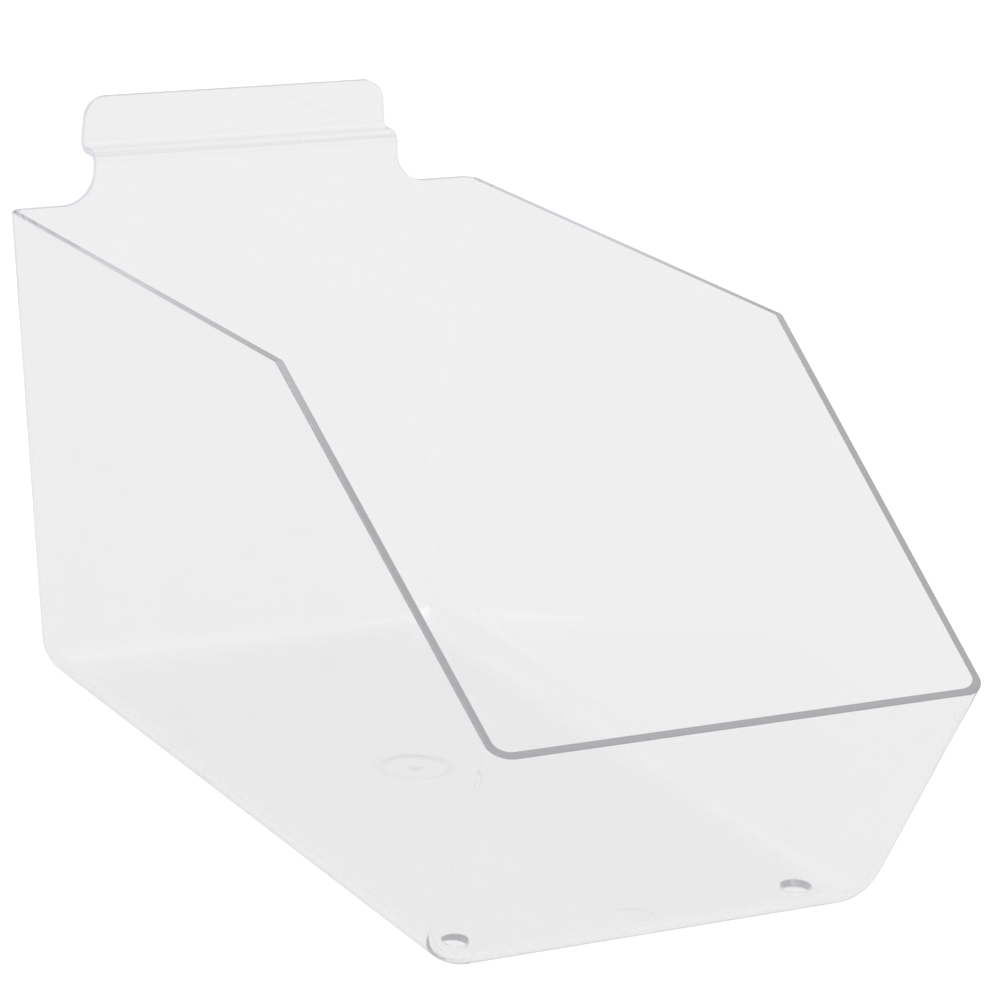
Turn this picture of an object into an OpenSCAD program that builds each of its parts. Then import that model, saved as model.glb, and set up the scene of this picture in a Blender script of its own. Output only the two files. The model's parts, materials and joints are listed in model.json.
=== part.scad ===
// Clear dump bin that hangs in a slatwall groove or stands on a shelf.
// The real bin is one moulding: an open trough with leaning walls, a rim that drops to a low front,
// and a tab that rises from the back rim, steps back and hooks behind the lip of the groove.
// Each module is one region of the moulding. The regions meet face to face.
// The floor lies on z = 0, the front is towards -y, and the origin is the middle of the footprint.

/* [Bin] */
// Outside width between the side walls at the rim
rim_w = 140; // [120:1:220]
// Outside length of the floor, between the sharp lines where front and back would meet it
floor_l = 235.5; // [160:0.5:340]
// Height of the level part of the rim
rim_h = 129; // [100:1:200]
// Height of the front rim
lip_h = 64.2; // [30:0.1:90]
// Length of the level part of the rim, from the back face to the knee
level_l = 164.5; // [30:0.5:200]
// Wall thickness
wall = 2; // [1.2:0.1:3]

/* [Lean of the walls] */
// Angle of the side walls from upright
side_lean = 4; // [1:0.1:8]
// Angle of the front wall from upright
front_lean = 26.6; // [5:0.1:40]
// Angle of the back wall from upright
back_lean = 1.2; // [0.2:0.1:5]

/* [Radii] */
// Outside radius between the floor and the walls
floor_r = 11; // [5:0.1:16]
// Outside radius of the upright corners where they start, measured down at the floor
corner_low_r = 9; // [5:0.1:14]
// Outside radius of the two front corners at the front rim
lip_r = 5.3; // [4:0.1:9]
// Outside radius of the two back corners at the rim
rim_r = 4.5; // [4:0.1:9]
// Radius on the rim's knee, where it starts to drop
knee_r = 2; // [0.5:0.1:8]

/* [Hanging tab] */
// Width of the neck and of the tongue's foot
tab_w = 90.4; // [40:0.2:96]
// Radius of the concave feet where the neck leaves the rim
foot_r = 9; // [2:0.1:10]
// Height of the neck above the rim, up to where the step back starts
neck_h = 10.9; // [10:0.1:25]
// Free gap for the lip of the groove, between the back of the bin and the tongue
lip_gap = 6.6; // [4:0.1:12]
// Inside radius of the two bends in the step
bend_r = 1.5; // [0.5:0.1:1.9]
// Height of the flat tongue above the upper bend
tongue_h = 11.4; // [9:0.1:25]
// Taper of each side of the tongue from upright
tongue_taper = 5; // [0:0.5:10]
// Radius of the tongue's two top corners
tongue_r = 6; // [1:0.1:8]

/* [Holes and moulding marks] */
// Diameter of the two holes in the floor
hole_d = 7.5; // [4:0.1:10]
// Flat floor left between each hole and the bend of the side wall
hole_side = 0.3; // [0.2:0.1:20]
// Flat floor left between each hole and the bend of the front wall
hole_front = 5.5; // [0.5:0.1:40]
// Diameter of the recess round the gate scar, in the underside of the floor
gate_d = 18; // [8:0.1:30]
// Depth of the gate recess
gate_depth = 0.6; // [0.2:0.1:0.8]
// Distance of the gate from the floor's sharp front line
gate_y = 124.5; // [90:0.5:130]
// Diameter of the gate scar
scar_d = 3; // [1:0.1:6]

/* [Hidden] */
plastic = [0.86, 0.89, 0.92, 0.45];
hole_fn = 96;
low_steps = 5;
bend_steps = 14;
round_steps = 12;
knee_steps = 6;
beyond = 60;
through = 1;
scar_gap = 0.2;
inner_r = floor_r - wall;

floor_w = rim_w - 2 * rim_h * tan(side_lean);
front_reach = lip_h * tan(front_lean);
back_y = floor_l + rim_h * tan(back_lean);
tongue_y = back_y + lip_gap;
tail_y = tongue_y + wall;
mid_y = (tail_y - front_reach) / 2;
knee_y = back_y - level_l;
rim_drop = atan2(rim_h - lip_h, knee_y + front_reach);
shelf_z = rim_h + neck_h + bend_r;
tongue_z = shelf_z + wall + bend_r;
tongue_top = tongue_z + tongue_h;
half_tab = tab_w / 2;
over_rim = rim_h + 1;

// The flat floor plate, half its width and its two ends, and the middle of each hole in it
plate_half = floor_w / 2 - inset(side_lean);
plate_front = inset(front_lean);
plate_back = floor_l - inset(back_lean);
hole_x = plate_half - hole_side - hole_d / 2;
hole_y = plate_front + hole_front + hole_d / 2;

// Levels through the lower bend: up to the top of the floor plate, then round the bend's inner face
low_levels = [for (i = [0:low_steps - 1]) floor_r - floor_r * cos(acos(inner_r / floor_r) * i / low_steps)];
bend_levels = [for (i = [0:bend_steps]) floor_r - inner_r * cos(90 * i / bend_steps)];

// How far inside its sharp lower line the bend under a leaning wall touches the floor
function inset(lean) = floor_r * (1 - sin(lean)) / cos(lean);

// How far a wall's face stands out from its sharp lower line at height z: the bend first, then the
// straight wall. skin is 0 for the outer face and the wall thickness for the inner one.
function face_out(z, lean, skin) =
    let (r = floor_r - skin)
    z < floor_r - r * sin(lean)
        ? sqrt(max(r * r - (floor_r - z) * (floor_r - z), 0)) - inset(lean)
        : z * tan(lean) - skin / cos(lean);

// Radius of an upright corner at height z, which changes evenly from the floor to its named height
function corner_r(z, top_r, top_z) = corner_low_r + (top_r - corner_low_r) * z / top_z;

// Where a rounded corner starts, measured out from the wall's sharp lower line. It leaves the floor
// plate's corner at the floor and is on the corner's own axis above the bend.
function axis_out(z, lean, top_r, top_z) =
    let (above = floor_r * tan(lean) - corner_r(floor_r, top_r, top_z))
    z <= wall ? -inset(lean)
        : z < floor_r ? -inset(lean) + (above + inset(lean)) * (z - wall) / (floor_r - wall)
        : z * tan(lean) - corner_r(z, top_r, top_z);

// Outline of everything closer in than the corners' axes, from below the floor to above the rim,
// between two leaning walls that stand on the lines at start and at start + span
function between_axes(start, span, lean_a, lean_b, top_a, top_b) =
    let (heights = [wall, floor_r, over_rim])
    concat(
        [[start + inset(lean_a), -beyond]],
        [for (z = heights) [start - axis_out(z, lean_a, top_a[0], top_a[1]), z]],
        [for (i = [2:-1:0])
            [start + span + axis_out(heights[i], lean_b, top_b[0], top_b[1]), heights[i]]],
        [[start + span - inset(lean_b), -beyond]]
    );

// Puts the outline's own zero, the floor's sharp front line, where the origin wants it
module to_origin() color(plastic) translate([0, -mid_y, 0]) children();

// A flat outline in y and z, drawn out in x and centred
module along_x(width) rotate([90, 0, 90]) linear_extrude(width, center = true) children();

// A flat outline in x and z, drawn out in y from y = start
module along_y(start, depth)
    translate([0, start + depth, 0]) rotate([90, 0, 0]) linear_extrude(depth) children();

// Cross-section of a leaning wall with its lower bend, from the floor plate up. Its sharp lower line
// is at 0 and it leans towards minus.
module wall_section(lean) {
    outer = concat(low_levels, bend_levels, [over_rim]);
    inner = concat(bend_levels, [over_rim]);
    polygon(concat(
        [for (z = outer) [-face_out(z, lean, 0), z]],
        [for (i = [len(inner) - 1:-1:0]) [-face_out(inner[i], lean, wall), inner[i]]]
    ));
}

// Everything below the rim, as an outline in y and z: level at the back, then dropping to the front
module below_rim() {
    knee_axis = [knee_y + knee_r * tan(rim_drop / 2), rim_h - knee_r];
    run = knee_y + front_reach + beyond;
    polygon(concat(
        [[tail_y + beyond, -beyond], [tail_y + beyond, rim_h]],
        [for (i = [0:knee_steps]) let (a = 90 + rim_drop * i / knee_steps)
            knee_axis + knee_r * [cos(a), sin(a)]],
        [[knee_y - run, rim_h - run * tan(rim_drop)], [knee_y - run, -beyond]]
    ));
}

module trim_at_rim() intersection() {
    children();
    along_x(rim_w * 2) below_rim();
}

module floor() to_origin() difference() {
    translate([-plate_half, plate_front, 0]) cube([2 * plate_half, plate_back - plate_front, wall]);
    for (side = [-1, 1])
        translate([side * hole_x, hole_y, -through]) cylinder(wall + 2 * through, d = hole_d, $fn = hole_fn);
    translate([0, gate_y, -through]) difference() {
        cylinder(gate_depth + through, d = gate_d, $fn = hole_fn);
        translate([0, 0, through + scar_gap]) cylinder(gate_depth, d = scar_d, $fn = hole_fn);
    }
}

// The middle of a front or back wall, between its rounded corners
module end_wall(top) intersection() {
    along_x(rim_w * 2) children();
    along_y(-floor_l, 3 * floor_l)
        polygon(between_axes(-floor_w / 2, floor_w, side_lean, side_lean, top, top));
}

module front_wall() to_origin() trim_at_rim()
    end_wall([lip_r, lip_h]) wall_section(front_lean);

module back_wall() to_origin() trim_at_rim()
    end_wall([rim_r, rim_h]) translate([floor_l, 0]) mirror([1, 0]) wall_section(back_lean);

// One side wall between its rounded corners: side is -1 for the left and 1 for the right
module side_wall(side) trim_at_rim() intersection() {
    along_y(-floor_l, 3 * floor_l) mirror([side > 0 ? 1 : 0, 0])
        translate([-floor_w / 2, 0]) wall_section(side_lean);
    along_x(rim_w * 2)
        polygon(between_axes(0, floor_l, front_lean, back_lean, [lip_r, lip_h], [rim_r, rim_h]));
}

module left_wall() to_origin() side_wall(-1);

module right_wall() to_origin() side_wall(1);

// A rounded corner as a closed mesh of quarter rings, outer and inner, level from the floor up and the
// last one along the rim, which drops outwards by the angle drop from the height top_z.
// The quarter goes from the end wall's side at turn 0 to the side wall's side at turn 90.
// lean is the end wall's; the corner stands at the origin, with x out to the side and y out to the end.
module corner(lean, top_r, top_z, drop) {
    heights = concat(low_levels, bend_levels);
    n = round_steps + 1;
    rings = len(heights) + 1;
    turns = [for (i = [0:round_steps]) 90 * i / round_steps];
    function point(z, turn, skin) =
        let (x0 = axis_out(z, side_lean, top_r, top_z), y0 = axis_out(z, lean, top_r, top_z))
        let (rx = face_out(z, side_lean, skin) - x0, ry = face_out(z, lean, skin) - y0)
        [x0 + rx * sin(turn), y0 + ry * cos(turn), z];
    // Above the bend a line up the corner is straight, so it meets the rim's plane where two of its
    // points say
    function rim_point(turn, skin) =
        let (low = point(floor_r, turn, skin), high = point(top_z, turn, skin))
        let (lead = (high[1] - low[1]) / (top_z - floor_r), fall = tan(drop))
        let (z = (top_z + fall * (top_z * tan(lean) - low[1] + lead * floor_r)) / (1 + fall * lead))
        point(z, turn, skin);
    outer = concat(
        [for (z = heights) for (turn = turns) point(z, turn, 0)],
        [for (turn = turns) rim_point(turn, 0)]
    );
    inner = concat(
        [for (z = heights) for (turn = turns) point(max(z, wall), turn, wall)],
        [for (turn = turns) rim_point(turn, wall)]
    );
    // Both skins and both ends as strips of triangles between one level and the next
    function quad(a, b, c, d) = [[a, b, c], [a, c, d]];
    skins = [for (k = [0:rings - 2]) for (i = [0:round_steps - 1])
        let (a = k * n + i, b = (k + 1) * n + i, m = rings * n)
        each concat(quad(a, b, b + 1, a + 1), quad(m + a + 1, m + b + 1, m + b, m + a))];
    ends = [for (k = [0:rings - 2])
        let (a = k * n, b = (k + 1) * n, m = rings * n, last = round_steps)
        each concat(quad(a, m + a, m + b, b), quad(a + last, b + last, m + b + last, m + a + last))];
    top = [for (i = [0:round_steps - 1])
        let (a = (rings - 1) * n + i, m = rings * n)
        each quad(a, m + a, m + a + 1, a + 1)];
    polyhedron(concat(outer, inner), concat(skins, ends, top), convexity = 4);
}

// Puts a corner on the bin: side is -1 or 1 in x, and front corners face the other way in y
module place_corner(side, front) to_origin()
    translate([side * floor_w / 2, front ? 0 : floor_l, 0])
        mirror([side < 0 ? 1 : 0, 0, 0]) mirror([0, front ? 1 : 0, 0])
            if (front) corner(front_lean, lip_r, lip_h, rim_drop);
            else corner(back_lean, rim_r, rim_h, 0);

module front_left_corner() place_corner(-1, true);

module front_right_corner() place_corner(1, true);

module back_left_corner() place_corner(-1, false);

module back_right_corner() place_corner(1, false);

// The neck stands on the back rim, in line with the back wall, on two concave feet
module hanger_neck() to_origin() along_y(back_y - wall, wall) difference() {
    translate([-half_tab - foot_r, rim_h]) square([tab_w + 2 * foot_r, neck_h]);
    for (side = [-1, 1]) {
        translate([side * (half_tab + foot_r), rim_h + foot_r]) circle(foot_r, $fn = hole_fn);
        translate([side * (half_tab + foot_r) - foot_r, rim_h + foot_r]) square([2 * foot_r, neck_h]);
    }
}

// A quarter of a flat ring round its own centre, in the quarter that turn starts
module quarter_ring(turn) rotate(turn) intersection() {
    difference() {
        circle(bend_r + wall, $fn = hole_fn);
        circle(bend_r, $fn = hole_fn);
    }
    square(2 * (bend_r + wall));
}

// The step back: a bend to the rear, a short level shelf and a bend up again
module hanger_joggle() to_origin() along_x(tab_w) {
    translate([back_y + bend_r, shelf_z - bend_r]) quarter_ring(90);
    translate([back_y + bend_r, shelf_z]) square([lip_gap - 2 * bend_r, wall]);
    translate([tongue_y - bend_r, shelf_z + wall + bend_r]) quarter_ring(-90);
}

// The tongue goes up behind the lip of the groove. It narrows a little to its rounded top corners.
module hanger_tongue() to_origin() along_y(tongue_y, wall) {
    top_half = half_tab - tongue_h * tan(tongue_taper);
    corner = [top_half - tongue_r * tan((90 - tongue_taper) / 2), tongue_top - tongue_r];
    edge = concat(
        [[half_tab, tongue_z]],
        [for (i = [0:round_steps]) let (a = tongue_taper + (90 - tongue_taper) * i / round_steps)
            corner + tongue_r * [cos(a), sin(a)]]
    );
    polygon(concat(edge, [for (i = [len(edge) - 1:-1:0]) [-edge[i][0], edge[i][1]]]));
}

floor();
front_wall();
left_wall();
right_wall();
back_wall();
front_left_corner();
front_right_corner();
back_left_corner();
back_right_corner();
hanger_neck();
hanger_joggle();
hanger_tongue();
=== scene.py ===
# %% [markdown]
# # A clear bin for slatwall, made as one skin
# The real bin is one injection moulding of clear plastic. A clear thing shows every inner boundary, so
# a model of it has to be one closed skin: an outer face, an inner face and a narrow rounded edge that
# joins them. The lesson builds that skin from formulas, and then spends its care on light, because
# clear plastic has almost no colour of its own.

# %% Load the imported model
import json
import math

import bmesh
import bpy
import numpy as np
from mathutils import Matrix, Vector


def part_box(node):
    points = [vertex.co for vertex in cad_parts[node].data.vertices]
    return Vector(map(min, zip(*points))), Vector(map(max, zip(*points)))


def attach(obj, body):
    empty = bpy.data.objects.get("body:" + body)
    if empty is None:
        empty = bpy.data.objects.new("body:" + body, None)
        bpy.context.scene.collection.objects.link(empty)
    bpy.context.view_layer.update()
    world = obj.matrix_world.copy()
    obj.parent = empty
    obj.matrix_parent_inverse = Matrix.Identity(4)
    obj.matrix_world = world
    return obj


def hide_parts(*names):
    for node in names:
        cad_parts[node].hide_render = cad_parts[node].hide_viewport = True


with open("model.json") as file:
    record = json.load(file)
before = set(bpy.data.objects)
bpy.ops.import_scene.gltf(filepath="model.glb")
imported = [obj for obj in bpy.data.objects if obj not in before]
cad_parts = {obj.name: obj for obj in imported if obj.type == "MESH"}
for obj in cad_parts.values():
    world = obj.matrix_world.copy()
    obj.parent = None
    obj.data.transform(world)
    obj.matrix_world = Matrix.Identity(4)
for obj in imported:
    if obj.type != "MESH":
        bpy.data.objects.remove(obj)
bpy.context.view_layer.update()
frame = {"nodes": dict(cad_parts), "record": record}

# %% [markdown]
# ## Sizes
# Nothing is measured twice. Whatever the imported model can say, such as the height of the rim or the
# place of the tongue, is read from the boxes of its nodes. What a box can't say, such as an angle or a
# radius, is written here as a real size.

# %% Real sizes
MM = 0.001
SIDE_LEAN, FRONT_LEAN, BACK_LEAN, TONGUE_TAPER = np.radians((4.0, 26.6, 1.2, 5.0))
FLOOR_R = 11 * MM  # outside radius between the floor and the walls
CORNER_LOW_R = 9 * MM  # outside radius of an upright corner, measured down at the floor
LIP_R = 5.3 * MM  # and at the front rim
RIM_R = 4.5 * MM  # and at the back rim
INNER_MORE = 1 * MM  # how much rounder a front corner is inside, at the rim
LIP_H = 64.2 * MM  # height of the front rim
LEVEL_L = 164.5 * MM  # length of the level part of the rim
KNEE_R = 2 * MM  # radius where the rim starts to drop
BEND_R = 1.5 * MM  # inside radius of the bends that lead to the tongue
TONGUE_R = 6 * MM  # radius of the tongue's top corners
RIM_EDGE = 0.35 * MM  # rounding along the outer side of the rim
SHARP_EDGE = 0.12 * MM  # and on its inner side and round the tab, where the edge is almost sharp

LOW, HIGH = 0, 1  # the two corners of a box
X, Y, Z = 0, 1, 2
floor_box, left_box, neck_box, joggle_box, tongue_box = (
    np.array(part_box(node))
    for node in ("floor", "left_wall", "hanger_neck", "hanger_joggle", "hanger_tongue")
)
WALL = floor_box[HIGH][Z]
RIM_H = left_box[HIGH][Z]
BACK_Y = neck_box[HIGH][Y]
NECK_TOP = neck_box[HIGH][Z]
HALF_TAB = joggle_box[HIGH][X]
FOOT_R = neck_box[HIGH][X] - HALF_TAB
TONGUE_Y = tongue_box[LOW][Y]
TONGUE_Z = tongue_box[LOW][Z]
TONGUE_H = tongue_box[HIGH][Z] - TONGUE_Z
KNEE_Y = BACK_Y - LEVEL_L
holes = next(m for m in frame["record"]["mounts"] if m["name"] == "floor_holes")
HOLE_X = holes["dims"]["spacing_x_mm"] / 2 * MM
HOLE_Y = holes["pos_m"][Y]
HOLE_R = holes["dims"]["hole_r_mm"] * MM
print(f"wall {WALL / MM:.2f}, rim {RIM_H / MM:.1f} high, holes {2 * HOLE_X / MM:.2f} mm apart")

# %% [markdown]
# ## Faces of the walls
# All four walls leave the floor in the same quarter bend and then lean outwards, each by its own angle.
# So one function gives the face of any wall: how far it stands out at a height. The bend is a circle,
# the wall above it a straight line, and the thickness of the plastic moves both inwards.


# %% How a wall leaves the floor
def inset(lean):
    """How far inside its sharp lower line a leaning wall's bend touches the floor:
    radius times (1 - sine) over cosine of the lean."""
    return FLOOR_R * (1 - math.sin(lean)) / math.cos(lean)


def face_out(z, lean, skin):
    """How far a face stands out from the wall's sharp lower line at height z. In the bend it is the
    circle root(r^2 - (R - z)^2) less the inset, and above it z times the tangent of the lean, less the
    thickness across the lean. skin is 0 for the outer face and the wall's thickness for the inner."""
    r = FLOOR_R - skin
    bend = np.sqrt(np.maximum(r * r - (FLOOR_R - z) ** 2, 0)) - inset(lean)
    straight = z * math.tan(lean) - skin / math.cos(lean)
    return np.where(z < FLOOR_R - r * math.sin(lean), bend, straight)


SIDE_LINE = floor_box[HIGH][X] + inset(SIDE_LEAN)
FRONT_LINE = floor_box[LOW][Y] - inset(FRONT_LEAN)
BACK_LINE = floor_box[HIGH][Y] + inset(BACK_LEAN)
FRONT_REACH = LIP_H * math.tan(FRONT_LEAN)
RIM_DROP = math.atan2(RIM_H - LIP_H, KNEE_Y - FRONT_LINE + FRONT_REACH)
print(f"the rim drops by {math.degrees(RIM_DROP):.1f} degrees")

# %% [markdown]
# ## Corners of the walls
# An upright corner is a quarter of an ellipse at every height. Its radius shrinks on the way up, from 9
# mm at the floor to about 5 mm at the rim, as the draft of a moulding tool makes it. Below the bend's
# top the ellipse shrinks to nothing at the flat floor's own corner, which closes the shape into a
# smooth bowl corner with no extra patch.
#
# Towards the rim, a front corner is a little rounder inside than an even wall would make it. In clear
# plastic that shows: light that enters an even corner at a slant is caught between the flat faces
# beyond it, and leaves a dark upright line. The real corner is clear, and a rounder inside lets the
# light out.


# %% How two walls meet
def rounder(z, skin):
    """How much the inside radius of a front corner has gained at height z: nothing in the bend, then
    the share of the height from there to the rim. The outer face, with a skin of 0, gains nothing."""
    return skin / WALL * INNER_MORE * np.clip((z - FLOOR_R) / (LIP_H - FLOOR_R), 0, 1)


def axis_out(z, lean, top_r, top_z):
    """Where the rounded corner's axis lies, measured out from a wall's sharp lower line. It starts at
    the flat floor's corner, runs in a straight line to its place at the top of the bend, and then keeps
    one corner radius inside the wall."""
    radius = CORNER_LOW_R + (top_r - CORNER_LOW_R) * z / top_z
    radius_at_bend = CORNER_LOW_R + (top_r - CORNER_LOW_R) * FLOOR_R / top_z
    at_bend = FLOOR_R * math.tan(lean) - radius_at_bend
    share = np.clip((z - WALL) / (FLOOR_R - WALL), 0, 1)
    low = -inset(lean) + (at_bend + inset(lean)) * share
    return np.where(z < FLOOR_R, low, z * math.tan(lean) - radius)


def skin_point(z, columns, skin):
    """Points of one face at heights z, for columns (across, along, turn, side): the corner's axis,
    placed by across between left and right and by along between front and back, plus the quarter
    ellipse's sine of turn to the side and cosine of turn to the end. What a rounder front corner adds
    fades along the side wall, by the sixth power of the way that is left, before it reaches the knee."""
    across, along, turn, side = columns.T
    at_back = along > 0.5
    axis_x = SIDE_LINE + np.where(
        at_back,
        axis_out(z, SIDE_LEAN, RIM_R, RIM_H),
        axis_out(z, SIDE_LEAN, LIP_R, LIP_H) - rounder(z, skin),
    )
    front_axis = axis_out(z, FRONT_LEAN, LIP_R, LIP_H)
    back_axis = axis_out(z, BACK_LEAN, RIM_R, RIM_H)
    reach_x = SIDE_LINE + face_out(z, SIDE_LEAN, skin) - axis_x
    reach_y = np.where(
        at_back,
        face_out(z, BACK_LEAN, skin) - back_axis,
        front_axis - rounder(z, skin) - face_out(z, FRONT_LEAN, skin),
    )
    x = across * axis_x + side * reach_x * np.sin(turn)
    y = (1 - along) * (FRONT_LINE - front_axis) + along * (BACK_LINE + back_axis)
    y = y + (1 - along) ** 6 * rounder(z, skin)
    return np.stack([x, y + reach_y * np.cos(turn), z + 0 * x], axis=-1)


inside_r = LIP_R - WALL + rounder(LIP_H, WALL)
print(f"front corner at the rim: radius {LIP_R / MM:.1f} outside, {inside_r / MM:.1f} inside")

# %% [markdown]
# ## Columns and rows
# The skin is a grid. Its columns go once round the bin, and each remembers only where it belongs: on a
# wall or at which angle of a corner. Flat walls need few columns, corners need many. Two places need a
# column exactly: the knee of each side's rim, and the two feet of the tab on the back rim.

# %% Columns round the bin
CORNER_COLUMNS = 48
TAB_COLUMNS = 24
FRONT_COLUMNS = 8
SLOPE_COLUMNS, KNEE_COLUMNS, LEVEL_COLUMNS = 9, 6, 8  # along a side
BESIDE_TAB = 2
quarter = np.linspace(0, math.pi / 2, CORNER_COLUMNS + 1)


def stretch(across, along, turn, side):
    """One stretch of the outline as columns (across, along, turn, side). Its last column is left out,
    because the next stretch starts there."""
    return np.stack(np.broadcast_arrays(across, along, turn, side), axis=1)[:-1]


def along_at_rim(y):
    """Which share of the way along a side wall lies at y, measured at the height of the level rim."""
    front = FRONT_LINE - axis_out(np.array(RIM_H), FRONT_LEAN, LIP_R, LIP_H)
    back = BACK_LINE + axis_out(np.array(RIM_H), BACK_LEAN, RIM_R, RIM_H)
    return (y - front) / (back - front)


knee_axis_y = KNEE_Y + KNEE_R * math.tan(RIM_DROP / 2)
knee_y = knee_axis_y - KNEE_R * np.sin(np.linspace(RIM_DROP, 0, KNEE_COLUMNS + 1))
side_share = np.concatenate([
    np.linspace(0, along_at_rim(knee_y[0]), SLOPE_COLUMNS + 1)[:-1],
    along_at_rim(knee_y),
    np.linspace(along_at_rim(knee_y[-1]), 1, LEVEL_COLUMNS + 1)[1:],
])
edge_z = np.array(RIM_H - SHARP_EDGE)
foot_share = (HALF_TAB + FOOT_R) / (SIDE_LINE + axis_out(edge_z, SIDE_LEAN, RIM_R, RIM_H))
back_across = np.concatenate([
    np.linspace(1, foot_share, BESIDE_TAB + 1)[:-1],
    np.linspace(foot_share, -foot_share, TAB_COLUMNS + 1),
    np.linspace(-foot_share, -1, BESIDE_TAB + 1)[1:],
])
columns = np.concatenate([
    stretch(np.linspace(-1, 1, FRONT_COLUMNS + 1), 0, 0, 1),
    stretch(1, 0, quarter, 1),
    stretch(1, side_share, math.pi / 2, 1),
    stretch(1, 1, quarter[::-1], 1),
    stretch(back_across, 1, 0, 1),
    stretch(-1, 1, quarter, -1),
    stretch(-1, side_share[::-1], math.pi / 2, -1),
    stretch(-1, 0, quarter[::-1], -1),
])
foot_right = FRONT_COLUMNS + 2 * CORNER_COLUMNS + len(side_share) - 1 + BESIDE_TAB
foot_left = foot_right + TAB_COLUMNS
from_foot = np.clip((np.abs(columns[:, 0]) - foot_share) / (1 - foot_share), 0, 1)
on_back = (columns[:, 1] == 1) & (columns[:, 2] == 0)
outer_edge = SHARP_EDGE + (RIM_EDGE - SHARP_EDGE) * np.where(on_back, from_foot, 1)
print(len(columns), "columns; the tab stands on columns", foot_right, "to", foot_left)


# %% Heights of the rim
ANSWERS = 60  # far more than it takes to settle


def rim_z(y):
    """Height of the rim at y: level, then an arc of the knee's radius, then a straight drop."""
    slope = RIM_H + (y - KNEE_Y) * math.tan(RIM_DROP)
    arc_y = np.clip(y - knee_axis_y, -KNEE_R, 0)
    arc = RIM_H - KNEE_R + np.sqrt(KNEE_R**2 - arc_y**2)
    on_slope = y < knee_axis_y - KNEE_R * math.sin(RIM_DROP)
    return np.where(on_slope, slope, np.where(y < knee_axis_y, arc, RIM_H))


def rim_height(skin):
    """Height at which each column of a face meets the rim. The column leans, so its y depends on the
    height that is asked for: the answer is found by asking again from each new height."""
    z = np.full(len(columns), RIM_H)
    for _ in range(ANSWERS):
        z = rim_z(skin_point(z, columns, skin)[:, Y])
    return z


BEND_ROWS = 64
WALL_ROWS = 8
bend_turn = np.linspace(0, math.pi / 2, BEND_ROWS + 1)[:, None]


def wall_face(skin, edge):
    """The grid of one face: rows round the lower bend, at R - r cos(turn), and then rows in equal steps
    up to where the edge's rounding starts below the rim."""
    low = FLOOR_R - (FLOOR_R - skin) * np.cos(bend_turn) + np.zeros(len(columns))
    step = np.linspace(0, 1, WALL_ROWS + 1)[1:, None]
    high = FLOOR_R + (rim_height(skin) - edge - FLOOR_R) * step
    return skin_point(np.concatenate([low, high]), columns, skin)


outer_wall, inner_wall = wall_face(0, outer_edge), wall_face(WALL, SHARP_EDGE)
outer_rim = skin_point(rim_height(0), columns, 0)
inner_rim = skin_point(rim_height(WALL), columns, WALL)
print("outer face", outer_wall.shape, "lowest rim", round(outer_rim[:, Z].min() / MM, 1), "mm")

# %% [markdown]
# ## The tab
# The tab goes on from the back wall with no joint. Seen from the side it is one line that goes up, bends
# to the rear, and bends up again; seen from the front it is an outline that narrows on two hollow feet
# and ends in round corners. So it is a profile carried along a path: the path gives the place and the
# facing of each row, the outline gives its half width.

# %% The tab's path and outline
ARC_ROWS, BEND_STEPS = 24, 40
MID_R = BEND_R + WALL / 2
BEND_LENGTH = MID_R * math.pi / 2
SHELF = TONGUE_Y - BACK_Y - 2 * BEND_R
NECK_H = NECK_TOP - RIM_H
path_ends = np.cumsum([NECK_H, BEND_LENGTH, SHELF, BEND_LENGTH])


def tab_path(s):
    """Centre (y, z) and facing (y, z) of the tab at length s above the rim: up, a quarter circle to the
    rear, level, a quarter circle up, and up again. The facing points to the front and top side."""
    neck_end, shelf_start, shelf_end, tongue_start = path_ends
    first = np.clip((s - neck_end) / MID_R, 0, math.pi / 2)
    second = np.clip((s - shelf_end) / MID_R, 0, math.pi / 2)
    level = np.clip(s - shelf_start, 0, SHELF)
    up = np.minimum(s, neck_end) + np.maximum(s - tongue_start, 0)
    y = BACK_Y - WALL / 2 + MID_R * (1 - np.cos(first)) + level + MID_R * np.sin(second)
    z = RIM_H + up + MID_R * np.sin(first) + MID_R * (1 - np.cos(second))
    turn = first - second
    return np.stack([y, z], axis=-1), np.stack([-np.cos(turn), np.sin(turn)], axis=-1)


def tab_outline(inward):
    """Length along the path and half width of each row, for an outline that lies inward of the edge:
    hollow quarter circles for the feet, straight sides, a slight taper and round top corners."""
    foot = np.linspace(0, math.pi / 2, ARC_ROWS + 1)[1:]
    foot_s = FOOT_R - (FOOT_R + inward) * np.cos(foot)
    foot_half = HALF_TAB + FOOT_R - (FOOT_R + inward) * np.sin(foot)
    neck_end, shelf_start, shelf_end, tongue_start = path_ends
    middle_s = np.concatenate([
        [neck_end],
        np.linspace(neck_end, shelf_start, BEND_STEPS + 1)[1:],
        [shelf_end],
        np.linspace(shelf_end, tongue_start, BEND_STEPS + 1)[1:],
    ])
    turn = np.linspace(TONGUE_TAPER, math.pi / 2, ARC_ROWS + 1)
    top_half = HALF_TAB - TONGUE_H * math.tan(TONGUE_TAPER)
    axis_x = top_half - TONGUE_R * math.tan((math.pi / 2 - TONGUE_TAPER) / 2)
    corner_s = tongue_start + TONGUE_H - TONGUE_R + (TONGUE_R - inward) * np.sin(turn)
    corner_half = axis_x + (TONGUE_R - inward) * np.cos(turn)
    s = np.concatenate([foot_s, middle_s, corner_s])
    half = np.concatenate([foot_half, np.full(len(middle_s), HALF_TAB - inward), corner_half])
    return s, half


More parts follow.
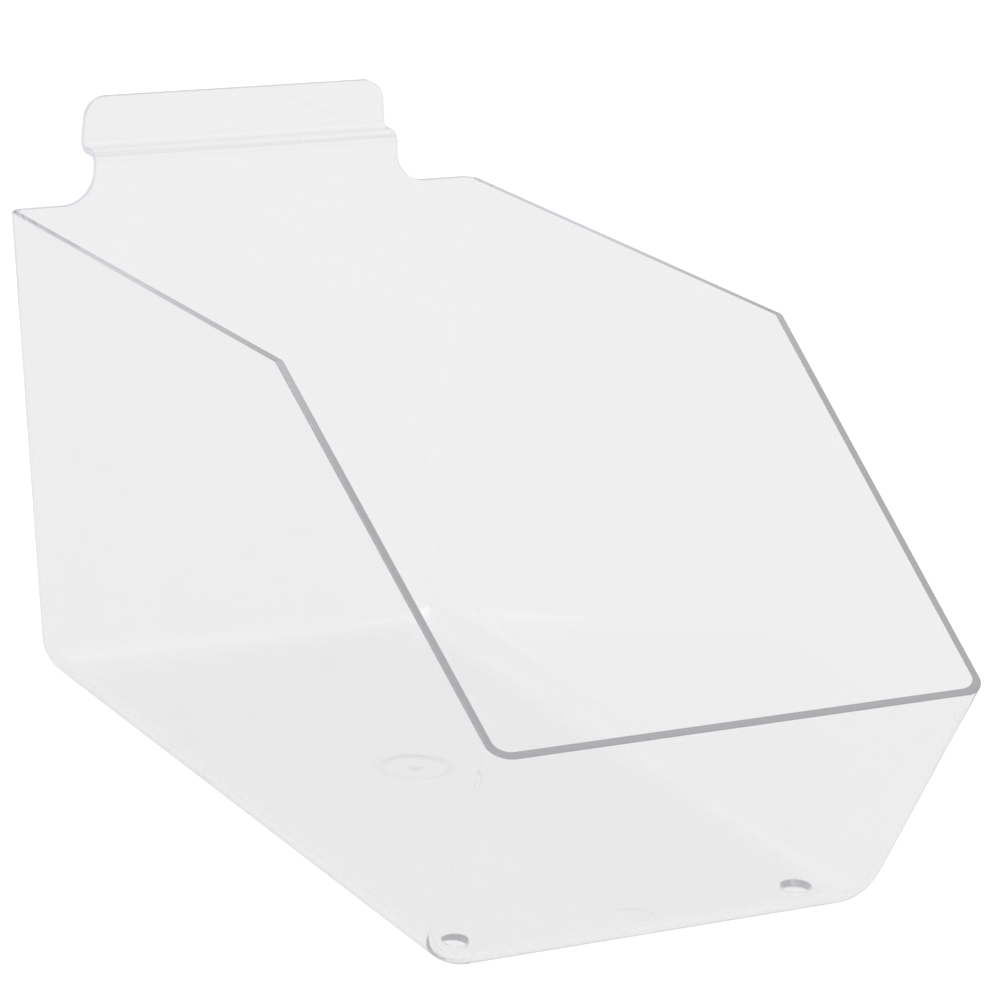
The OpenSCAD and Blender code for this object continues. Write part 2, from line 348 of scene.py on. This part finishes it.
def tab_face(inward, toward_front, share):
    """Points of one side of the tab: share times the half width across, and half the wall's thickness
    along the facing, or against it for the rear side."""
    s, half = tab_outline(inward)
    centre, facing = tab_path(s)
    offset = centre + facing * (WALL / 2 if toward_front else -WALL / 2)
    x = half[:, None] * share
    return np.stack([x, offset[:, 0, None] + 0 * x, offset[:, 1, None] + 0 * x], axis=-1)


across_tab = np.linspace(1, -1, TAB_COLUMNS + 1)
rear_tab, front_tab = tab_face(SHARP_EDGE, False, across_tab), tab_face(SHARP_EDGE, True, across_tab)
print("tab", rear_tab.shape, "top at", round(rear_tab[..., Z].max() / MM, 2), "mm")

# %% [markdown]
# ## One edge for the whole moulding
# The rim and the outline of the tab are one closed line. The rim has a rounding on its outer side that
# can be felt, which fades out along the back rim, and the rest of the edge is almost sharp, as it is
# where the two halves of a mould meet. So the edge is one band: at every point of the line it runs from
# the outer face round one rounding, straight across the thickness, and round another to the inner face.

# %% The edge band
ROUND_STEPS = 10


def around_edge(rim, side_low, side_high):
    """Joins the rim's points with the tab's two sides and top into one closed line, from the right foot
    forwards round the bin to the left foot, then up the left side, over the top and down the right."""
    wrap = np.concatenate([rim[foot_left:], rim[: foot_right + 1]])
    right, left, top = side_high[:, 0], side_low[:, -1], side_high[-1]
    return np.concatenate([wrap, right, top[1:-1], left[::-1]])


def rounding(start, corner, end):
    """A rounded corner from start to end: a weighted parabola that is a true circle's arc where the
    corner is square."""
    t = np.linspace(0, 1, ROUND_STEPS + 1)[None, :, None]
    a, b, c = (1 - t) ** 2, 2 * (1 - t) * t * math.sqrt(0.5), t**2
    return (a * start[:, None] + b * corner[:, None] + c * end[:, None]) / (a + b + c)


def edge_band():
    """Grid across the edge, one row of points for each place along the closed line."""
    outer_tab, inner_tab = tab_face(0, False, across_tab), tab_face(0, True, across_tab)
    outer_line = around_edge(outer_rim, outer_tab, outer_tab)
    inner_line = around_edge(inner_rim, inner_tab, inner_tab)
    outer_start = around_edge(outer_wall[-1], rear_tab, rear_tab)
    inner_start = around_edge(inner_wall[-1], front_tab, front_tab)
    span = inner_line - outer_line
    across = span / np.linalg.norm(span, axis=1, keepdims=True)
    rim_part = np.concatenate([outer_edge[foot_left:], outer_edge[: foot_right + 1]])
    edge = np.full(len(outer_line), SHARP_EDGE)
    edge[: len(rim_part)] = rim_part
    outer_round = rounding(outer_start, outer_line, outer_line + edge[:, None] * across)
    inner_round = rounding(inner_line - SHARP_EDGE * across, inner_line, inner_start)
    return np.concatenate([outer_round, inner_round], axis=1)


band = edge_band()
print("edge band", band.shape)

# %% [markdown]
# ## Holes and moulding marks
# The floor has two drilled-looking holes and, underneath, a shallow round recess with the scar where the
# plastic was let into the mould. Between the holes is the faint ring of an ejector pin. All of them are
# round, so each is one profile turned about its own upright axis.

# %% Round features of the floor
ROUND_COLUMNS = 72
GATE_Y, GATE_R, GATE_DEPTH = FRONT_LINE + 124.5 * MM, 9 * MM, 0.6 * MM
SCAR_R, SCAR_DEPTH = 1.5 * MM, 0.2 * MM
PIN_Y, PIN_R, PIN_DEPTH = FRONT_LINE + 14.3 * MM, 5.5 * MM, 0.08 * MM
SOFT_R = 0.2 * MM  # rounding of the holes' and the recess's edges


def turned(profile, x, y):
    """A profile of (radius, height) turned about the upright axis at x, y."""
    angle = np.linspace(0, 2 * math.pi, ROUND_COLUMNS, endpoint=False)
    r, z = np.array(profile).T
    return np.stack([
        x + r[:, None] * np.cos(angle),
        y + r[:, None] * np.sin(angle),
        z[:, None] + 0 * angle,
    ], axis=-1)


def arc(radius, height, r, start, end, steps=4):
    """Points (radius, height) on a circle of radius r, from one angle to another in degrees."""
    angle = np.radians(np.linspace(start, end, steps + 1))
    return np.stack([radius + r * np.cos(angle), height + r * np.sin(angle)], axis=1)


hole_profile = np.concatenate([
    arc(HOLE_R + SOFT_R, WALL - SOFT_R, SOFT_R, 90, 180),
    arc(HOLE_R + SOFT_R, SOFT_R, SOFT_R, 180, 270),
])
gate_profile = np.concatenate([
    arc(GATE_R + SOFT_R, SOFT_R, SOFT_R, 270, 180),
    arc(GATE_R - SOFT_R, GATE_DEPTH - SOFT_R, SOFT_R, 0, 90),
    arc(SCAR_R + SOFT_R, GATE_DEPTH - SOFT_R, SOFT_R, 90, 180),
    arc(SCAR_R - SOFT_R, SCAR_DEPTH + SOFT_R, SOFT_R, 0, -90),
    [[0, SCAR_DEPTH]],
])
pin_profile = np.array([[PIN_R + PIN_DEPTH, 0], [PIN_R, PIN_DEPTH], [0, PIN_DEPTH]])
rounds = [turned(hole_profile, side * HOLE_X, HOLE_Y) for side in (-1, 1)]
rounds += [turned(gate_profile, 0, GATE_Y), turned(pin_profile, 0, PIN_Y)]
print(len(rounds), "round features")

# %% [markdown]
# ## Sewing the skin
# Each grid becomes four-sided faces, all grids go into one mesh, and points that lie on each other are
# merged. What is left open are the flat floor's two sides, whose outlines and holes are filled with
# triangles. Then every edge has two faces, and the skin is closed.


# %% Grids to one closed mesh
def grid_faces(rows, cols, wrap_cols, wrap_rows=False):
    """Corner numbers of the four-sided faces of a grid: each point with its neighbours one row up and
    one column on."""
    r = np.arange(rows if wrap_rows else rows - 1)[:, None]
    c = np.arange(cols if wrap_cols else cols - 1)[None, :]
    next_r, next_c = (r + 1) % rows, (c + 1) % cols
    corners = [r * cols + c, r * cols + next_c, next_r * cols + next_c, next_r * cols + c]
    return np.stack([np.broadcast_to(k, (r.size, c.size)) for k in corners], axis=-1).reshape(-1, 4)


def tab_grid(wall, face):
    """A side of the tab with the wall's own last row below it, so that the two share their points."""
    return np.concatenate([wall[-1:, foot_right : foot_left + 1], face])


grids = [(outer_wall, True, False), (inner_wall, True, False), (band, False, True)]
grids += [(tab_grid(outer_wall, rear_tab), False, False)]
grids += [(tab_grid(inner_wall, front_tab), False, False)]
grids += [(feature, True, False) for feature in rounds]

points, faces, count = [], [], 0
for grid, wrap_cols, wrap_rows in grids:
    rows, cols = grid.shape[:2]
    faces.append(grid_faces(rows, cols, wrap_cols, wrap_rows) + count)
    points.append(grid.reshape(-1, 3))
    count += rows * cols
mesh = bpy.data.meshes.new("bin_moulding")
mesh.from_pydata(np.concatenate(points), [], np.concatenate(faces).tolist())

MERGE = 0.002 * MM
SHARP_FROM = math.radians(50)  # an edge between faces that meet more steeply stays sharp
sewn = bmesh.new()
sewn.from_mesh(mesh)
bmesh.ops.remove_doubles(sewn, verts=sewn.verts, dist=MERGE)
for face_z in (0, WALL):
    open_line = [
        e for e in sewn.edges if e.is_boundary and all(abs(v.co.z - face_z) < MERGE for v in e.verts)
    ]
    filled = bmesh.ops.triangle_fill(sewn, edges=open_line, use_beauty=True, normal=(0, 0, 1))
    print(f"floor face at {face_z / MM:.2f} mm: {len(filled['geom'])} parts from {len(open_line)} edges")
bmesh.ops.recalc_face_normals(sewn, faces=sewn.faces)
open_edges = sum(not e.is_manifold for e in sewn.edges)
sewn.to_mesh(mesh)
print(f"{len(sewn.faces)} faces, {open_edges} open edges, volume {sewn.calc_volume() * 1e6:.1f} cm3")
sewn.free()

moulding = bpy.data.objects.new("bin_moulding", mesh)
bpy.context.scene.collection.objects.link(moulding)
mesh.shade_smooth()
mesh.set_sharp_from_angle(angle=SHARP_FROM)
weighted = moulding.modifiers.new("flat faces stay flat", "WEIGHTED_NORMAL")
weighted.keep_sharp = True
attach(moulding, "root")
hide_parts(*frame["nodes"])

# %% [markdown]
# ## Shader maths
# A material is easier to read as an expression than as a list of links. This small class wraps a
# socket, so that arithmetic on values adds the Math nodes by itself. A socket is named with its words
# joined by underscores, or with an underscore and its number where several share a name.


# %% Sockets as numbers
class Sock:
    """A number that runs through a material's nodes."""

    def __init__(self, tree, socket):
        self.tree, self.socket = tree, socket

    @staticmethod
    def node(tree, kind, settings=None, **inputs):
        """Adds a node of a type, sets its settings first, then its sockets' values or links."""
        made = tree.nodes.new(kind)
        for name, value in (settings or {}).items():
            setattr(made, name, value)
        for name, value in inputs.items():
            numbered = name[1:].isdigit()
            socket = made.inputs[int(name[1:]) if numbered else name.replace("_", " ")]
            if isinstance(value, Sock):
                tree.links.new(value.socket, socket)
            elif isinstance(value, bpy.types.NodeSocket):
                tree.links.new(value, socket)
            else:
                socket.default_value = value
        return made

    def _math(self, operation, a, b):
        made = Sock.node(self.tree, "ShaderNodeMath", {"operation": operation}, _0=a, _1=b)
        return Sock(self.tree, made.outputs[0])

    def __add__(self, other):
        return self._math("ADD", self, other)

    def __mul__(self, other):
        return self._math("MULTIPLY", self, other)

    def __gt__(self, other):
        return self._math("GREATER_THAN", self, other)

    def __sub__(self, other):
        return self._math("SUBTRACT", self, other)

    def __rsub__(self, other):
        return self._math("SUBTRACT", other, self)

    __radd__, __rmul__ = __add__, __mul__


def new_material(name):
    """An empty node material with its output."""
    material = bpy.data.materials.new(name)
    material.use_nodes = True
    material.node_tree.nodes.clear()
    return material, material.node_tree, material.node_tree.nodes.new("ShaderNodeOutputMaterial")


def rising(tree, value, start, end):
    """A number that is 0 up to start, rises evenly to 1 at end, and stays there."""
    return Sock(tree, Sock.node(tree, "ShaderNodeMapRange", _0=value, _1=start, _2=end).outputs[0])


print("sockets add, subtract, multiply and compare")

# %% [markdown]
# ## Clear plastic
# Clear styrene or acrylic bends light by about 1.5 and takes almost none of it, so a wall is only a
# shade darker than what lies behind it. The edges are grey for another reason: light that enters at
# the rim is thrown from face to face inside the wall, down towards the floor, and little of it comes
# back. A renderer can follow it for dozens of turns and still give a speckled edge.
#
# So the plastic follows light for eight turns, and then stands in for the rest with painted light, a
# grey that glows: mid grey at the front, and paler towards the back and the tab, as the real edges are.
# Light Path counts the turns, and a Mix Shader swaps one shader for the other. In the same way, light
# on its way to a matt surface meets only a faint tint, which leaves the pale shadow of a clear thing.
# The surface is polished, with patches that are a touch hazier.

# %% The plastic
ABSORPTION = 1.2  # per metre
HAZE = 0.1  # roughness of the haziest patch
FOLLOWED = 8  # turns
# painted light: the levels of the grey glow that stands in for light lost inside the wall, front to tab
GLOW_FRONT, GLOW_TAB = (0.40, 0.40, 0.42, 1.0), (0.80, 0.80, 0.87, 1.0)
REAR_START, REAR_END = -20 * MM, 90 * MM  # where the grey gets paler along the bin
UPPER_START, UPPER_END = 30 * MM, 125 * MM  # and up the walls
LOW_SHARE = 0.35  # how much of that the foot of the rear walls has
plastic, tree, out = new_material("clear_plastic")
place = tree.nodes.new("ShaderNodeTexCoord").outputs["Object"]
noise = Sock.node(tree, "ShaderNodeTexNoise", Vector=place, Scale=28.0, Detail=2.0)
surface = Sock.node(
    tree, "ShaderNodeBsdfPrincipled", Base_Color=(1.0, 1.0, 1.0, 1.0),
    Roughness=Sock(tree, noise.outputs["Fac"]) * HAZE, IOR=1.5, Transmission_Weight=1.0,
)
tint = Sock.node(tree, "ShaderNodeBsdfTransparent", Color=(0.985, 0.985, 1.0, 1.0))
axes = Sock.node(tree, "ShaderNodeSeparateXYZ", Vector=place).outputs
rear = rising(tree, axes["Y"], REAR_START, REAR_END)
upper = rising(tree, axes["Z"], UPPER_START, UPPER_END)
paler = rear * (LOW_SHARE + (1 - LOW_SHARE) * upper)
grey = Sock.node(tree, "ShaderNodeMix", {"data_type": "RGBA"}, _0=paler, _6=GLOW_FRONT, _7=GLOW_TAB)
# painted light: an emission that glows in that grey where light has turned more than eight times
painted_glow = Sock.node(tree, "ShaderNodeEmission", Color=grey.outputs[2])
path = tree.nodes.new("ShaderNodeLightPath").outputs
lost = Sock(tree, path["Ray Depth"]) > FOLLOWED
to_matt = Sock(tree, path["Is Shadow Ray"]) + Sock(tree, path["Is Diffuse Ray"])
solid = Sock.node(tree, "ShaderNodeMixShader", _0=lost, _1=surface.outputs[0], _2=painted_glow.outputs[0])
mixed = Sock.node(tree, "ShaderNodeMixShader", _0=to_matt, _1=solid.outputs[0], _2=tint.outputs[0])
inside = Sock.node(tree, "ShaderNodeVolumeAbsorption", Color=(0.0, 0.0, 0.08, 1.0), Density=ABSORPTION)
tree.links.new(mixed.outputs[0], out.inputs["Surface"])
tree.links.new(inside.outputs[0], out.inputs["Volume"])
mesh.materials.append(plastic)
print("plastic dims", round(1 - math.exp(-ABSORPTION * WALL), 4), "of the light in one wall")

# %% [markdown]
# ## The white around the bin
# The bin was photographed on white, which here is a wide floor and a plain sky. Each gives its own
# level to each kind of ray. What the camera sees directly is white. What it sees through the plastic
# stays a shade below, as it does when a clear thing stands in front of a bright sweep. What the
# plastic mirrors is brighter from high up than from the side. For the lamp's light the floor is matt,
# so it keeps the bin's pale shadow.

# %% The floor and the white around it
SEEN = 1.1  # just over white, so that the floor's own shading stays out of sight
FLOOR_THROUGH, FLOOR_MIRRORED, FLOOR_MATT = 0.885, 0.82, 0.3
SKY_THROUGH, SKY_FILL = 0.75, 0.6
SKY_LOW, SKY_HIGH = 0.5, 1.6  # in a reflection, from the side and from above
FLOOR_SIZE = 12.0
AIR_GAP = 0.3 * MM  # keeps the floor's face off the bin's


def background(tree, behind, mirror, less=0.0):
    """How bright the white looks to a ray: straight from the camera, through the plastic, or in a
    reflection. A ray that passed the plastic counts as both glossy and transmitted, so the mirrored
    part is only for those that didn't pass. Any other ray gets nothing. less is what the surface
    already has from the lamps."""
    path = tree.nodes.new("ShaderNodeLightPath").outputs
    camera, through, mirrored = (
        Sock(tree, path[name]) for name in ("Is Camera Ray", "Is Transmission Ray", "Is Glossy Ray")
    )
    only_mirrored = mirrored * (1 - through)
    return camera * (SEEN - less) + through * (behind - less) + only_mirrored * (mirror - less)


bpy.ops.mesh.primitive_plane_add(size=FLOOR_SIZE, location=(0, 0, -AIR_GAP))
floor = bpy.context.object
floor.name = "studio_floor"
paper, tree, out = new_material("white_floor")
matt = Sock.node(tree, "ShaderNodeBsdfDiffuse", Color=(FLOOR_MATT, FLOOR_MATT, FLOOR_MATT, 1.0))
white = background(tree, FLOOR_THROUGH, FLOOR_MIRRORED, FLOOR_MATT)
lift = Sock.node(tree, "ShaderNodeEmission", Color=(1, 1, 1, 1), Strength=white)
sheet = Sock.node(tree, "ShaderNodeAddShader", _0=lift.outputs[0], _1=matt.outputs[0])
tree.links.new(sheet.outputs[0], out.inputs["Surface"])
floor.data.materials.append(paper)

world = bpy.data.worlds.new("studio")
bpy.context.scene.world = world
world.use_nodes = True
tree = world.node_tree
tree.nodes.clear()
direction = tree.nodes.new("ShaderNodeTexCoord").outputs["Generated"]
height = Sock.node(tree, "ShaderNodeSeparateXYZ", Vector=direction).outputs["Z"]
up = Sock(tree, Sock.node(tree, "ShaderNodeClamp", Value=height).outputs[0])
sky_mirrored = SKY_LOW + (SKY_HIGH - SKY_LOW) * up * up
diffuse = Sock(tree, tree.nodes.new("ShaderNodeLightPath").outputs["Is Diffuse Ray"])
strength = background(tree, SKY_THROUGH, sky_mirrored) + diffuse * SKY_FILL
sky = Sock.node(tree, "ShaderNodeBackground", Color=(1, 1, 1, 1), Strength=strength)
out = tree.nodes.new("ShaderNodeOutputWorld")
tree.links.new(sky.outputs[0], out.inputs["Surface"])
print("white floor", FLOOR_SIZE, "m wide, seen through the plastic at", FLOOR_THROUGH)

# %% [markdown]
# ## Lamp and camera
# One weak sun, fifty degrees wide, stands high behind the bin and throws its soft shadow forwards.
# Light that passes the plastic doesn't see it, or it would shine as a spot in every wall. The camera
# stands where the photographer's stood: just over a metre off at the front left, with a long lens.

# %% A soft lamp
LAMP_FROM, LAMP_TO = Vector((-0.5, 0.35, 1.3)), Vector((0, 0, 0.05))
lamp = bpy.data.lights.new("soft_light", "SUN")
lamp.energy, lamp.angle = 0.4 * math.pi, math.radians(50)
lamp_object = bpy.data.objects.new("soft_light", lamp)
lamp_object.location = LAMP_FROM
lamp_object.rotation_euler = (LAMP_TO - LAMP_FROM).to_track_quat("-Z", "Y").to_euler()
lamp_object.visible_transmission = False
bpy.context.scene.collection.objects.link(lamp_object)
print("lamp of strength", round(lamp.energy, 2), "and", round(math.degrees(lamp.angle)), "degrees wide")

# %% The camera
CAMERA_AT = (-0.525278, -0.963087, 0.403689)
TURN, DOWN, ROLL = np.radians((29.096, 16.5, 2.601))
camera = bpy.data.cameras.new("camera")
camera.lens, camera.sensor_width, camera.sensor_fit = 163.95, 36, "HORIZONTAL"
camera.clip_start, camera.clip_end = 0.05, 50
camera_object = bpy.data.objects.new("camera", camera)
camera_object.matrix_world = (
    Matrix.Translation(CAMERA_AT)
    @ Matrix.Rotation(-TURN, 4, "Z")
    @ Matrix.Rotation(math.pi / 2 - DOWN, 4, "X")
    @ Matrix.Rotation(ROLL, 4, "Z")
)
bpy.context.scene.collection.objects.link(camera_object)
bpy.context.scene.camera = camera_object
bpy.context.scene.view_settings.view_transform = "Standard"
print("camera at", CAMERA_AT, "with a lens of", round(camera.lens), "mm")

# %% [markdown]
# ## How often light may turn
# A renderer gives up on light after a few turns and shows it as black, mirrored light after only four.
# The plastic follows light for eight turns inside one wall, and there is a wall or two behind it, so
# the limit goes up to twice that. Past it nothing would be left to see.

# %% The limit
cycles = bpy.context.scene.cycles
cycles.max_bounces = cycles.glossy_bounces = cycles.transmission_bounces = 2 * FOLLOWED
print("light may turn", cycles.max_bounces, "times")
